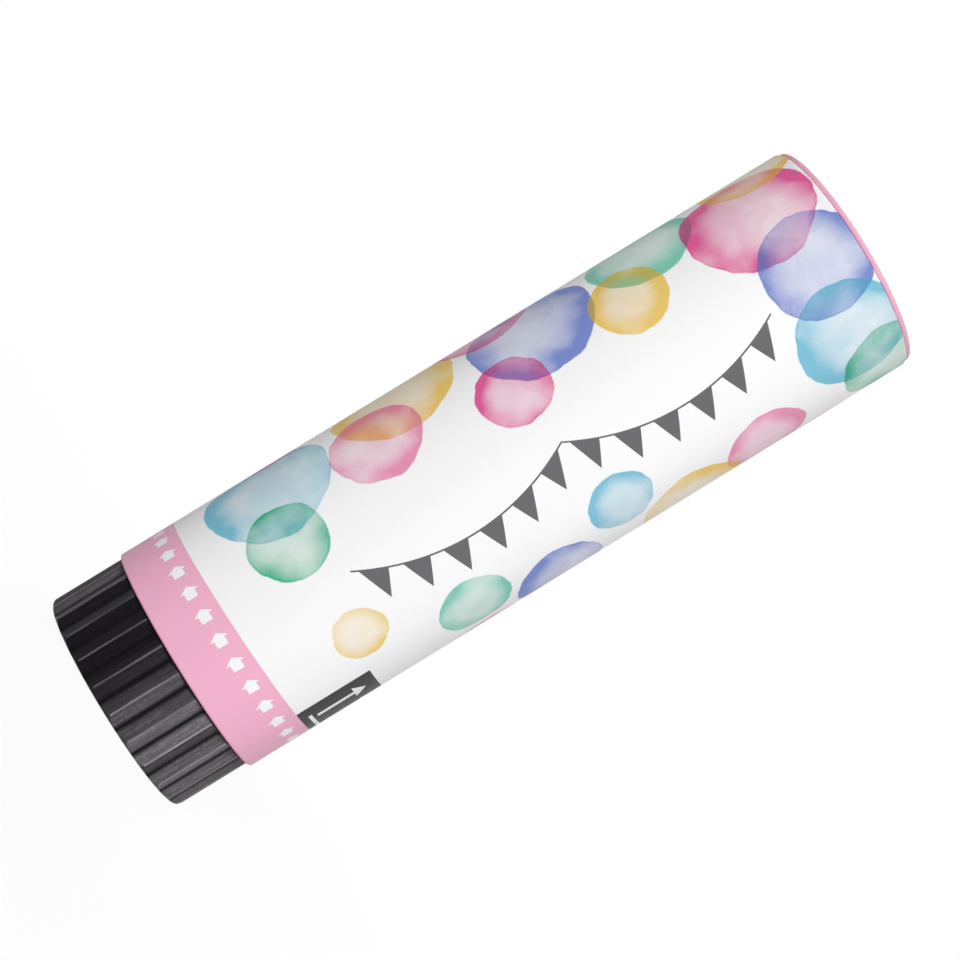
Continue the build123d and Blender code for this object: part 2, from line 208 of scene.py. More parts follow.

# Ribs of the base, in degrees round it from the front: a side with painted sheen, where the lamps make the
# plastic shine, has its middle, core and reach
RIB_PITCH = 15.0
RIB_START = 3.4
# Painted sheen: these two sides of the base are painted paler where the lamps make the black plastic shine
SHEEN_SIDES = ((48.0, 30.0, 70.0), (-69.0, 4.0, 14.0))

# How much of the painted sheen and of the crest wear with its painted highlight stays, from the least to the
# most of a tone
SHEEN_FLANK_SHARES = (0.35, 1.0)
SHEEN_SPECKLE_SHARES = (0.35, 1.0)
WEAR_AND_HIGHLIGHT_STREAK_SHARES = (0.3, 1.0)
WEAR_AND_HIGHLIGHT_CREST_SHARES = (0.25, 0.9)

# Finish of the tube's card, wound in a spiral
CARD_PLIES = 2
CARD_SLOPE_SHARE = 0.6
CARD_SEAM_SHARE = 0.01
CARD_GRAIN = (2.2 * MM, 0.2 * MM)
CARD_STRETCH = (1, 1, 0.4)
CARD_ROUGHNESS = (0.82, 0.95)
CARD_BUMP = (0.5, 0.06 * MM)

# Finish of the slips
SLIP_GRAIN = (3 * MM, 0.2 * MM)
SLIP_TONE_SHARE = 0.6
SLIP_ROUGHNESS = (0.6, 0.8)
SLIP_BUMP = (0.3, 0.02 * MM)

# Finish of everything else
PLAIN_BUMP_STRENGTH = 0.4

nodes = frame["nodes"]
wrap_low, wrap_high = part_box("printed_wrap")


def tint(red, green, blue):
    """Linear colour of a red, green and blue written as 0 to 255."""
    def linear(value):
        share = value / 255
        return share / 12.92 if share <= 0.04045 else ((share + 0.055) / 1.055) ** 2.4
    return (linear(red), linear(green), linear(blue), 1.0)


WHITE = tint(255, 255, 255)
FLOOR_PAINT = tint(247, 247, 247)
FLOOR_BOUNCE = tint(165, 165, 165)
PAPER_WHITE = tint(250, 250, 251)
BAND_PINK = tint(244, 180, 207)
PRINT_GREY = tint(104, 104, 106)
PANEL_GREY = tint(50, 50, 52)
MAGENTA = tint(228, 96, 156)
ROSE = tint(236, 150, 184)
GREEN = tint(70, 184, 144)
MINT = tint(128, 204, 182)
YELLOW = tint(240, 204, 112)
PERIWINKLE = tint(124, 142, 208)
SKY = tint(126, 194, 216)
# Dark colour of the painted shade in the base's hollows
BASE_HOLLOW_SHADE = tint(6, 5, 7)
BASE_DARK = tint(12, 9, 13)
BASE_LIGHT = tint(33, 28, 33)
# Pale colour of the painted sheen on the base
BASE_PAINTED_SHEEN = tint(149, 142, 147)
# Pale colour of the crest wear and painted highlight on the base
BASE_WORN_AND_HIGHLIT = tint(172, 166, 170)
CARD_DARK = tint(160, 138, 112)
CARD_LIGHT = tint(188, 168, 140)
CARD_SEAM = tint(120, 100, 78)

# Dark and light tone of the slips of each colour
SLIP_TONES = {
    "pink": (tint(228, 128, 170), tint(246, 176, 206)),
    "mint": (tint(112, 194, 166), tint(164, 224, 202)),
    "blue": (tint(120, 150, 214), tint(166, 194, 240)),
    "yellow": (tint(238, 200, 100), tint(252, 230, 156)),
}

# Watercolour spots of the print: degrees round the tube from the front, millimetres along it, radius, ink
SPOTS = (
    (-56, 33, 14, SKY), (-22, 31, 8.5, GREEN), (-70, 64, 14, YELLOW), (-44, 56, 10, ROSE),
    (-56, 94, 14, PERIWINKLE), (-28, 84, 8, MAGENTA), (-88, 86, 11, MAGENTA), (-66, 121, 12, MINT),
    (-38, 113, 8.5, YELLOW), (-44, 142, 14, MAGENTA), (-4, 147, 11.5, PERIWINKLE), (34, 146, 12, SKY),
    (62, 151, 10.5, GREEN), (-80, 148, 11, YELLOW), (68, 122, 9.5, ROSE), (83, 104, 12, YELLOW),
    (47, 90, 7.5, SKY), (74, 73, 10, PERIWINKLE), (56, 55, 8, MINT), (33, 33, 6, YELLOW),
    (108, 134, 12, MAGENTA), (131, 147, 9, YELLOW), (118, 83, 12, GREEN), (145, 102, 12, SKY),
    (165, 128, 12, PERIWINKLE), (101, 55, 10, ROSE), (128, 46, 11, YELLOW), (155, 66, 11, MAGENTA),
    (170, 30, 12, PERIWINKLE), (118, 24, 7, MINT), (-105, 36, 12, MAGENTA), (-132, 50, 11, PERIWINKLE),
    (-160, 36, 11, SKY), (-172, 62, 11, GREEN), (-118, 76, 10, ROSE), (-148, 85, 13, YELLOW),
    (-112, 112, 12, SKY), (-142, 120, 11, PERIWINKLE), (-118, 145, 10, ROSE), (-164, 149, 11, MINT),
    (-176, 104, 9, MAGENTA),
)

# Plain finishes, each with two tones, a span of roughness, two patch sizes and the depth of its grain
PLAIN_FINISHES = {
    "plug_black": {
        "dark": tint(24, 24, 26), "light": tint(36, 36, 38), "roughness": (0.45, 0.6),
        "coarse": 1 * MM, "fine": 0.15 * MM, "depth": 0.03 * MM,
    },
    "pin_natural": {
        "dark": tint(226, 222, 208), "light": tint(238, 235, 224), "roughness": (0.35, 0.5),
        "coarse": 2 * MM, "fine": 0.2 * MM, "depth": 0.02 * MM,
    },
    "seal_rubber": {
        "dark": tint(28, 28, 28), "light": tint(46, 46, 46), "roughness": (0.6, 0.8),
        "coarse": 0.6 * MM, "fine": 0.1 * MM, "depth": 0.03 * MM,
    },
    "bottle_metal": {
        "dark": tint(176, 178, 182), "light": tint(206, 208, 212), "roughness": (0.24, 0.42),
        "coarse": 3 * MM, "fine": 0.3 * MM, "depth": 0.01 * MM, "stretch": (0.1, 0.1, 4), "metallic": 1.0,
    },
    "ferrule_metal": {
        "dark": tint(190, 150, 84), "light": tint(216, 178, 108), "roughness": (0.25, 0.4),
        "coarse": 2 * MM, "fine": 0.2 * MM, "depth": 0.01 * MM, "stretch": (0.2, 0.2, 3), "metallic": 1.0,
    },
    "valve_natural": {
        "dark": tint(220, 224, 226), "light": tint(236, 238, 238), "roughness": (0.35, 0.5),
        "coarse": 2 * MM, "fine": 0.2 * MM, "depth": 0.02 * MM,
    },
    "spring_steel": {
        "dark": tint(150, 150, 150), "light": tint(190, 190, 188), "roughness": (0.2, 0.35),
        "coarse": 1 * MM, "fine": 0.1 * MM, "depth": 0.01 * MM, "metallic": 1.0,
    },
    "collar_grey": {
        "dark": tint(128, 130, 134), "light": tint(146, 148, 150), "roughness": (0.4, 0.55),
        "coarse": 1 * MM, "fine": 0.15 * MM, "depth": 0.03 * MM,
    },
    "wad_board": {
        "dark": tint(140, 132, 120), "light": tint(172, 164, 150), "roughness": (0.85, 0.95),
        "coarse": 1 * MM, "fine": 0.15 * MM, "depth": 0.05 * MM,
    },
    "wad_felt": {
        "dark": tint(150, 144, 138), "light": tint(206, 200, 192), "roughness": (0.9, 1.0),
        "coarse": 1 * MM, "fine": 0.15 * MM, "depth": 0.2 * MM, "stretch": (1, 1, 2.5),
    },
    "lid_board": {
        "dark": tint(168, 158, 142), "light": tint(196, 186, 168), "roughness": (0.85, 0.95),
        "coarse": 1 * MM, "fine": 0.15 * MM, "depth": 0.05 * MM,
    },
    "lid_pink": {
        "dark": tint(232, 168, 192), "light": tint(240, 180, 204), "roughness": (0.55, 0.7),
        "coarse": 2 * MM, "fine": 0.15 * MM, "depth": 0.03 * MM,
    },
}


class Bench:
    """Places and wires the nodes of one shader tree."""

    def __init__(self, tree):
        self.tree = tree

    def feed(self, socket, value):
        """Links a socket, or sets a plain value."""
        if isinstance(value, bpy.types.NodeSocket):
            self.tree.links.new(value, socket)
        else:
            socket.default_value = value

    def feed_each(self, sockets, values):
        for socket, value in zip(sockets, values):
            self.feed(socket, value)

    def node(self, kind, inputs=None, **settings):
        node = self.tree.nodes.new(kind)
        for name, value in settings.items():
            setattr(node, name, value)
        for name, value in (inputs or {}).items():
            self.feed(node.inputs[name], value)
        return node

    def math(self, operation, *values, clamp=False):
        node = self.node("ShaderNodeMath", operation=operation, use_clamp=clamp)
        self.feed_each(node.inputs, values)
        return node.outputs[0]

    def length(self, vector):
        return self.node("ShaderNodeVectorMath", {"Vector": vector}, operation="LENGTH").outputs["Value"]

    def fade(self, value, start, end):
        """0 at start and 1 at end, smooth between them and level outside."""
        node = self.node(
            "ShaderNodeMapRange",
            {"Value": value, "From Min": start, "From Max": end},
            interpolation_type="SMOOTHSTEP",
        )
        return node.outputs[0]

    def scale(self, value, low, high):
        """Spreads a value of 0 to 1 over low to high."""
        node = self.node("ShaderNodeMapRange", {"Value": value, "To Min": low, "To Max": high})
        return node.outputs[0]

    def mix(self, amount, first, second):
        """Mixes two numbers."""
        node = self.node("ShaderNodeMix", data_type="FLOAT")
        self.feed_each((node.inputs[0], node.inputs[2], node.inputs[3]), (amount, first, second))
        return node.outputs[0]

    def blend(self, amount, first, second, kind="MIX"):
        """Mixes two colours."""
        node = self.node("ShaderNodeMix", data_type="RGBA", blend_type=kind)
        self.feed_each((node.inputs[0], node.inputs[6], node.inputs[7]), (amount, first, second))
        return node.outputs[2]

    def join(self, amount, first, second):
        """Mixes two shaders."""
        node = self.node("ShaderNodeMixShader")
        self.feed_each(node.inputs, (amount, first.outputs[0], second.outputs[0]))
        return node.outputs[0]

    def place(self, stretch=(1, 1, 1)):
        """Object coordinates, in metres, stretched along the axes."""
        place = self.node("ShaderNodeTexCoord").outputs["Object"]
        if stretch == (1, 1, 1):
            return place
        return self.node("ShaderNodeMapping", {"Vector": place, "Scale": stretch}).outputs[0]

    def clouds(self, place, size, detail=2.0, roughness=0.5):
        """Cloudy noise whose patches are about size metres wide."""
        inputs = {"Vector": place, "Scale": 1 / size, "Detail": detail, "Roughness": roughness}
        return self.node("ShaderNodeTexNoise", inputs).outputs[0]

    def bump(self, height, strength, depth):
        inputs = {"Height": height, "Strength": strength, "Distance": depth}
        return self.node("ShaderNodeBump", inputs).outputs[0]

    def group(self, group, inputs):
        return self.node("ShaderNodeGroup", inputs, node_tree=group).outputs

    def seen(self):
        """1 for what the camera sees straight, in a reflection or through glass."""
        path = self.node("ShaderNodeLightPath").outputs
        mirrored = self.math("MAXIMUM", path["Is Glossy Ray"], path["Is Transmission Ray"])
        return self.math("MAXIMUM", path["Is Camera Ray"], mirrored)


FLOAT = "NodeSocketFloat"
COLOUR = "NodeSocketColor"
VECTOR = "NodeSocketVector"


def new_group(name, inputs, outputs):
    """Empty shader group with named sockets: its bench, what comes in and what goes out."""
    group = bpy.data.node_groups.new(name, "ShaderNodeTree")
    for label, kind in inputs.items():
        group.interface.new_socket(label, in_out="INPUT", socket_type=kind)
    for label, kind in outputs.items():
        group.interface.new_socket(label, in_out="OUTPUT", socket_type=kind)
    bench = Bench(group)
    return group, bench, bench.node("NodeGroupInput").outputs, bench.node("NodeGroupOutput").inputs


def tube_map_group():
    """Millimetres round the tube from its front, and along it in the print, which leans a little."""
    group, bench, given, result = new_group("tube_map", {"Place": VECTOR}, {"Around": FLOAT, "Along": FLOAT})
    axes = bench.node("ShaderNodeSeparateXYZ", {"Vector": given["Place"]}).outputs
    angle = bench.math("ARCTAN2", axes["X"], bench.math("MULTIPLY", axes["Y"], -1.0))
    along = bench.math("SUBTRACT", axes["Z"], wrap_low.z)
    along = bench.math("SUBTRACT", along, bench.math("MULTIPLY", axes["X"], PRINT_LEAN_SHARE))
    bench.feed(result["Around"], bench.math("MULTIPLY", angle, TUBE_RADIUS))
    bench.feed(result["Along"], bench.math("DIVIDE", along, MM))
    return group


def arrow_group():
    """Mask of an arrow that starts at 0 along its own way: shaft, then head."""
    names = ("Forward", "Aside", "Length", "Head Length", "Half Shaft", "Half Head")
    group, bench, given, result = new_group("arrow_mark", dict.fromkeys(names, FLOAT), {"Mask": FLOAT})
    aside = bench.math("ABSOLUTE", given["Aside"])
    left = bench.math("SUBTRACT", given["Length"], given["Forward"])
    in_head = bench.math("LESS_THAN", left, given["Head Length"])
    slope = bench.math("DIVIDE", bench.math("MULTIPLY", left, given["Half Head"]), given["Head Length"])
    head = bench.math("MULTIPLY", in_head, bench.math("LESS_THAN", aside, slope))
    shaft = bench.math("LESS_THAN", aside, given["Half Shaft"])
    shaft = bench.math("MULTIPLY", shaft, bench.math("GREATER_THAN", given["Forward"], 0.0))
    shaft = bench.math("MULTIPLY", shaft, bench.math("SUBTRACT", 1.0, in_head))
    bench.feed(result["Mask"], bench.math("ADD", head, shaft, clamp=True))
    return group


def watercolour_spot_group():
    """Round wash of ink over the colour below it: pale in the middle, pooled at the rim, see-through."""
    inputs = {
        "Below": COLOUR, "Ink": COLOUR, "Around": FLOAT, "Along": FLOAT, "Middle Around": FLOAT,
        "Middle Along": FLOAT, "Radius": FLOAT, "Wobble": FLOAT, "Bloom": FLOAT, "Second Wash": FLOAT,
    }
    group, bench, given, result = new_group("watercolour_spot", inputs, {"Colour": COLOUR})
    across = bench.math("SUBTRACT", given["Around"], given["Middle Around"])
    across = bench.math("WRAP", across, TUBE_GIRTH / 2, -TUBE_GIRTH / 2)
    rise = bench.math("SUBTRACT", given["Along"], given["Middle Along"])
    reach = bench.length(bench.node("ShaderNodeCombineXYZ", {"X": across, "Y": rise}).outputs[0])
    depth = bench.math("SUBTRACT", given["Radius"], bench.math("ADD", reach, given["Wobble"]))
    inside = bench.fade(depth, 0.0, WASH_EDGE)
    line = bench.fade(depth, WASH_LINE_START, WASH_LINE_END)
    pooled = bench.fade(bench.math("DIVIDE", depth, given["Radius"]), POOL_REACH_SHARE, 0.0)
    pooled = bench.math("MULTIPLY", pooled, bench.scale(given["Bloom"], *POOL_INK_SHARES))
    ink = bench.math("ADD", bench.scale(given["Bloom"], *WASH_INK_SHARES), pooled)
    ink = bench.math("ADD", ink, bench.math("MULTIPLY", line, LINE_INK_SHARE))
    second_ink = bench.math("MULTIPLY", given["Second Wash"], SECOND_INK_SHARE)
    amount = bench.math("MULTIPLY", inside, bench.math("ADD", ink, second_ink, clamp=True))
    glaze = bench.blend(amount, given["Below"], given["Ink"], "MULTIPLY")
    cover = bench.blend(amount, given["Below"], given["Ink"])
    bench.feed(result["Colour"], bench.blend(COVER_SHARE, glaze, cover))
    return group


def fine_grain_group():
    """Two sizes of noise laid over each other, as a height and a tone of 0 to 1."""
    inputs = {"Place": VECTOR, "Coarse": FLOAT, "Fine": FLOAT, "Share": FLOAT}
    group, bench, given, result = new_group("fine_grain", inputs, {"Height": FLOAT, "Tone": FLOAT})
    layers = []
    for name, detail in (("Coarse", COARSE_DETAIL), ("Fine", FINE_DETAIL)):
        layer = {"Vector": given["Place"], "Scale": given[name], "Detail": detail}
        layers.append(bench.node("ShaderNodeTexNoise", layer).outputs[0])
    height = bench.mix(given["Share"], *layers)
    bench.feed(result["Height"], height)
    bench.feed(result["Tone"], bench.fade(height, *GRAIN_SPAN))
    return group


TUBE_MAP = tube_map_group()
ARROW_MARK = arrow_group()
WATERCOLOUR_SPOT = watercolour_spot_group()
FINE_GRAIN = fine_grain_group()


def new_finish(name, plain=None):
    """New material with one Principled shader, some of whose sockets have plain values."""
    material = bpy.data.materials.new(name)
    material.use_nodes = True
    bench = Bench(material.node_tree)
    surface = material.node_tree.nodes["Principled BSDF"].inputs
    for socket, value in (plain or {}).items():
        surface[socket].default_value = value
    return material, bench, surface


def grain(bench, coarse, fine, share=0.5, stretch=(1, 1, 1)):
    """Height and tone of a fine grain with patches of coarse and fine metres."""
    inputs = {"Place": bench.place(stretch), "Coarse": 1 / coarse, "Fine": 1 / fine, "Share": share}
    outputs = bench.group(FINE_GRAIN, inputs)
    return outputs["Height"], outputs["Tone"]


def within(bench, value, low, high):
    """1 where a value lies between low and high."""
    above = bench.math("GREATER_THAN", value, low)
    return bench.math("MULTIPLY", above, bench.math("LESS_THAN", value, high))


def step_tone(bench, value, start, step):
    """Random tone of 0 to 1 that stays the same over each step of a value."""
    index = bench.math("FLOOR", bench.math("DIVIDE", bench.math("SUBTRACT", value, start), step))
    return bench.node("ShaderNodeTexWhiteNoise", {"W": index}, noise_dimensions="1D").outputs["Value"]


def spots_print(bench, around, along):
    """White paper with the watercolour spots on it."""
    place = bench.place()
    wobble = bench.scale(bench.clouds(place, **WOBBLE_CLOUDS), -WASH_WOBBLE, WASH_WOBBLE)
    bloom = bench.fade(bench.clouds(place, **BLOOM_CLOUDS), *BLOOM_SPAN)
    grit = bench.scale(bench.clouds(place, **GRIT_CLOUDS), -GRIT_SHARE, GRIT_SHARE)
    bloom = bench.math("ADD", bloom, grit)
    second_wash = bench.fade(bench.clouds(place, **SECOND_WASH_CLOUDS), *SECOND_WASH_SPAN)
    colour = PAPER_WHITE
    for turn, height, radius, ink in SPOTS:
        colour = bench.group(WATERCOLOUR_SPOT, {
            "Below": colour, "Ink": ink, "Around": around, "Along": along,
            "Middle Around": math.radians(turn) * TUBE_RADIUS, "Middle Along": height, "Radius": radius,
            "Wobble": wobble, "Bloom": bloom, "Second Wash": second_wash,
        })["Colour"]
    return colour


def bunting_mask(bench, around, along):
    """Swags of string with pennants along the tube's front."""
    way = bench.math("SUBTRACT", along, BUNTING_START)
    share = bench.math("FRACT", bench.math("DIVIDE", way, SWAG_LENGTH))
    bow = bench.math("SUBTRACT", bench.math("MULTIPLY", share, 2.0), 1.0)
    drop = bench.math("MULTIPLY", bench.math("SUBTRACT", 1.0, bench.math("POWER", bow, 2.0)), SWAG_SAG)
    below = bench.math("SUBTRACT", around, bench.math("ADD", drop, STRING_PLACE))
    string = bench.math("LESS_THAN", bench.math("ABSOLUTE", below), STRING_HALF)
    step = bench.math("FRACT", bench.math("DIVIDE", way, PENNANT_PITCH))
    beside = bench.math("MULTIPLY", bench.math("ABSOLUTE", bench.math("SUBTRACT", step, 0.5)), PENNANT_PITCH)
    narrowing = bench.math("SUBTRACT", 1.0, bench.math("DIVIDE", below, PENNANT_LENGTH))
    pennant = bench.math("LESS_THAN", beside, bench.math("MULTIPLY", narrowing, PENNANT_HALF))
    pennant = bench.math("MULTIPLY", pennant, within(bench, below, 0.0, PENNANT_LENGTH))
    drawn = bench.math("ADD", string, pennant, clamp=True)
    return bench.math("MULTIPLY", drawn, within(bench, way, 0.0, SWAG_COUNT * SWAG_LENGTH))


def band_print(bench, around, along):
    """Pink band at the tube's lower end with white arrows that show which way to twist."""
    pitch = TUBE_GIRTH / BAND_ARROW_COUNT
    step = bench.math("FRACT", bench.math("ADD", bench.math("DIVIDE", around, pitch), 0.5))
    past_middle = bench.math("MULTIPLY", bench.math("SUBTRACT", step, 0.5), pitch)
    forward = bench.math("SUBTRACT", BAND_ARROW["Length"] / 2, past_middle)
    aside = bench.math("SUBTRACT", along, BAND_ARROW_LINE)
    arrow = bench.group(ARROW_MARK, {"Forward": forward, "Aside": aside, **BAND_ARROW})["Mask"]
    return bench.blend(arrow, BAND_PINK, PAPER_WHITE)


def panel_print(bench, around, along):
    """Dark panel with a bar and two arrows towards the lid: its colour and its mask."""
    from_middle = bench.math("ABSOLUTE", bench.math("SUBTRACT", around, PANEL_MIDDLE))
    forward = bench.math("SUBTRACT", along, PANEL_ARROW_START)
    aside = bench.math("SUBTRACT", from_middle, PANEL_ARROW_ASIDE)
    arrow = bench.group(ARROW_MARK, {"Forward": forward, "Aside": aside, **PANEL_ARROW})["Mask"]
    bar = bench.math("LESS_THAN", from_middle, PANEL_BAR_HALF)
    bar = bench.math("MULTIPLY", bar, within(bench, along, PANEL_BAR_LOW, PANEL_BAR_HIGH))
    colour = bench.blend(bench.math("ADD", arrow, bar, clamp=True), PANEL_GREY, PAPER_WHITE)
    mask = bench.math("LESS_THAN", from_middle, PANEL_HALF_WIDTH)
    mask = bench.math("MULTIPLY", mask, bench.math("LESS_THAN", along, PANEL_TOP))
    return colour, mask


def printed_paper():
    """Satin paper with the whole print."""
    material, bench, surface = new_finish("printed_paper", {"Specular IOR Level": PAPER_SHINE})
    mapped = bench.group(TUBE_MAP, {"Place": bench.place()})
    around, along = mapped["Around"], mapped["Along"]
    colour = spots_print(bench, around, along)
    colour = bench.blend(bunting_mask(bench, around, along), colour, PRINT_GREY)
    panel, panel_mask = panel_print(bench, around, along)
    colour = bench.blend(panel_mask, colour, panel)
    on_band = bench.math("LESS_THAN", along, BAND_HEIGHT)
    colour = bench.blend(on_band, colour, band_print(bench, around, along))
    height, tone = grain(bench, *PAPER_GRAIN)
    bench.feed(surface["Base Color"], colour)
    bench.feed(surface["Roughness"], bench.scale(tone, *PAPER_ROUGHNESS))
    bench.feed(surface["Normal"], bench.bump(height, *PAPER_BUMP))
    return material


def painted_rib_sheen(bench, turn, speckle):
    """Painted sheen: how far the plastic is painted pale on two sides of the base, where the lamps make it
    shine, flank by flank.
    """
    sheen_amount = 0.0
    for middle, core, reach in SHEEN_SIDES:
        away = bench.math("ABSOLUTE", bench.math("SUBTRACT", turn, middle))
        sheen_amount = bench.math("MAXIMUM", sheen_amount, bench.fade(away, reach, core))
    flank_tone = step_tone(bench, turn, RIB_START, RIB_PITCH / 2)
    sheen_amount = bench.math("MULTIPLY", sheen_amount, bench.scale(flank_tone, *SHEEN_FLANK_SHARES))
    return bench.math("MULTIPLY", sheen_amount, bench.scale(speckle, *SHEEN_SPECKLE_SHARES))


def crest_wear_and_highlight(bench, turn, radius, streak):
    """How far the crests of the ribs are worn and painted with a highlight, crest by crest."""
    wear_and_highlight = bench.fade(radius, RIB_CREST - RIB_WEAR_AND_HIGHLIGHT, RIB_CREST)
    wear_and_highlight = bench.math("MULTIPLY", wear_and_highlight, bench.scale(streak, *WEAR_AND_HIGHLIGHT_STREAK_SHARES))
    crest_tone = step_tone(bench, turn, RIB_START - RIB_PITCH / 2, RIB_PITCH)
    return bench.math("MULTIPLY", wear_and_highlight, bench.scale(crest_tone, *WEAR_AND_HIGHLIGHT_CREST_SHARES))


def base_black():
    """Moulded black plastic, with painted sheen on two sides, crests that are worn and carry a painted
    highlight, and painted shade in the hollows.
    """
    material, bench, surface = new_finish("base_black", {"Specular IOR Level": BASE_SHINE})
    height, tone = grain(bench, *BASE_GRAIN, BASE_FINE_SHARE)
    scratches, streak = grain(bench, *SCRATCH_GRAIN, stretch=SCRATCH_STRETCH)
    speckle = bench.math("MULTIPLY", tone, streak)
    radius = bench.length(bench.place((1, 1, 0)))
    around = bench.group(TUBE_MAP, {"Place": bench.place()})["Around"]
    turn = bench.math("MULTIPLY", around, math.degrees(1 / TUBE_RADIUS))
    colour = bench.blend(speckle, BASE_DARK, BASE_LIGHT)
    # Painted sheen: the plastic is painted paler on two sides, where the lamps make it shine
    colour = bench.blend(painted_rib_sheen(bench, turn, speckle), colour, BASE_PAINTED_SHEEN)
    # Painted shade: darker towards the bottom of each hollow between the ribs
    colour = bench.blend(bench.fade(radius, RIB_HOLLOW, RIB_HOLLOW + RIB_HOLLOW_SHADE_REACH), BASE_HOLLOW_SHADE, colour)
    # Crest wear and painted highlight: a thin pale line along each crest
    colour = bench.blend(crest_wear_and_highlight(bench, turn, radius, streak), colour, BASE_WORN_AND_HIGHLIT)
    relief = bench.math("ADD", height, bench.math("MULTIPLY", scratches, SCRATCH_SHARE))
    bench.feed(surface["Base Color"], colour)
    bench.feed(surface["Roughness"], bench.scale(speckle, *BASE_ROUGHNESS))
    bench.feed(surface["Normal"], bench.bump(relief, *BASE_BUMP))
    return material


def tube_card():
    """Brown card wound in a spiral: a faint line where the turns meet, and fibres along them."""
    material, bench, surface = new_finish("tube_card")
    mapped = bench.group(TUBE_MAP, {"Place": bench.place()})
    lay = bench.math("ADD", mapped["Along"], bench.math("MULTIPLY", mapped["Around"], CARD_SLOPE_SHARE))
    turn = bench.math("FRACT", bench.math("DIVIDE", lay, CARD_SLOPE_SHARE * TUBE_GIRTH / CARD_PLIES))
    seam = bench.math("LESS_THAN", turn, CARD_SEAM_SHARE)
    height, tone = grain(bench, *CARD_GRAIN, stretch=CARD_STRETCH)
    colour = bench.blend(tone, CARD_DARK, CARD_LIGHT)
    bench.feed(surface["Base Color"], bench.blend(seam, colour, CARD_SEAM))
    bench.feed(surface["Roughness"], bench.scale(tone, *CARD_ROUGHNESS))
    bench.feed(surface["Normal"], bench.bump(bench.math("SUBTRACT", height, seam), *CARD_BUMP))
    return material


def slip_paper(name, dark, light):
    """Thin paper whose tone differs a little from slip to slip."""
    material, bench, surface = new_finish(name)
    height, tone = grain(bench, *SLIP_GRAIN)
    slip_tone = bench.node("ShaderNodeAttribute", attribute_name="slip_tone").outputs["Fac"]
    amount = bench.mix(SLIP_TONE_SHARE, tone, slip_tone)
    bench.feed(surface["Base Color"], bench.blend(amount, dark, light))
    bench.feed(surface["Roughness"], bench.scale(tone, *SLIP_ROUGHNESS))
    bench.feed(surface["Normal"], bench.bump(height, *SLIP_BUMP))
    return material


def plain_grained(name, dark, light, roughness, coarse, fine, depth, stretch=(1, 1, 1), metallic=0.0):
    """Finish that drifts between two tones with a grain in its surface."""
    material, bench, surface = new_finish(name, {"Metallic": metallic})
    height, tone = grain(bench, coarse, fine, stretch=stretch)
    bench.feed(surface["Base Color"], bench.blend(tone, dark, light))
    bench.feed(surface["Roughness"], bench.scale(tone, *roughness))
    bench.feed(surface["Normal"], bench.bump(height, PLAIN_BUMP_STRENGTH, depth))
    return material


FINISHES = {name: plain_grained(name, **values) for name, values in PLAIN_FINISHES.items()}
FINISHES["printed_paper"] = printed_paper()
FINISHES["base_black"] = base_black()
FINISHES["tube_card"] = tube_card()
for slip_colour, slip_tones in SLIP_TONES.items():
    FINISHES["paper_" + slip_colour] = slip_paper("paper_" + slip_colour, *slip_tones)


def dress_cad_nodes():
    """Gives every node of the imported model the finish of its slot."""
    for subpart in frame["record"]["subparts"]:
        node = nodes[subpart["node"]]
        for slot in node.material_slots:
            slot.material = FINISHES[subpart["material_slot"]]


def new_object(name, shape, material):
    """Object from a bmesh, which is used up."""
    mesh = bpy.data.meshes.new(name)
    shape.to_mesh(mesh)
    shape.free()
    mesh.materials.append(material)
    made = bpy.data.objects.new(name, mesh)
    bpy.context.scene.collection.objects.link(made)
    return made


def new_piece(name, shape, body, slot, *replaced):
    """Smooth piece from a bmesh, riding on a body, in place of the named nodes."""
    piece = new_object(name, shape, FINISHES[slot])
    for polygon in piece.data.polygons:
        polygon.use_smooth = True
    piece.data.set_sharp_from_angle(angle=SHARP_ANGLE)
    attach(piece, body)
    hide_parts(*replaced)
    return piece


def draw_line(shape, points):
    """Chain of edges through the points."""
    verts = [shape.verts.new(point) for point in points]
    edges = [shape.edges.new(pair) for pair in zip(verts, verts[1:])]
    return verts + edges


def arc(middle_radius, middle_height, radius, start, end):
    """Points of a quarter round in the plane of the profile, from one angle to another in degrees."""
    points = []
    for k in range(EDGE_STEPS + 1):
        angle = math.radians(start + (end - start) * k / EDGE_STEPS)
        points.append((middle_radius + radius * math.cos(angle), middle_height + radius * math.sin(angle)))
    return points


def spun(profile, turn=2 * math.pi, steps=TURN_STEPS, start=0.0):
    """Surface turned about Z from (radius, height) points, closed where the turn is a whole one."""
    whole = turn >= 2 * math.pi
    shape = bmesh.new()
    line = draw_line(shape, [(radius, 0, height) for radius, height in profile])
    bmesh.ops.spin(
        shape, geom=line, cent=(0, 0, 0), axis=(0, 0, 1), angle=turn, steps=steps, use_merge=whole)
    bmesh.ops.remove_doubles(shape, verts=shape.verts[:], dist=MERGE_DISTANCE)
    bmesh.ops.recalc_face_normals(shape, faces=shape.faces[:])
    bmesh.ops.rotate(shape, verts=shape.verts[:], cent=(0, 0, 0), matrix=Matrix.Rotation(start, 3, "Z"))
    return shape


def wrap_profile():
    """Section of the wrap: up the tube's side, and turned in at both ends."""
    outer = wrap_high.x
    lip = outer - WRAP_LIP
    edge = WRAP_EDGE_RADIUS
    points = [(lip, wrap_low.z)]
    points += arc(outer - edge, wrap_low.z + edge, edge, -90, 0)
    points += arc(outer - edge, wrap_high.z - edge, edge, 0, 90)
    points.append((lip, wrap_high.z))
    return points


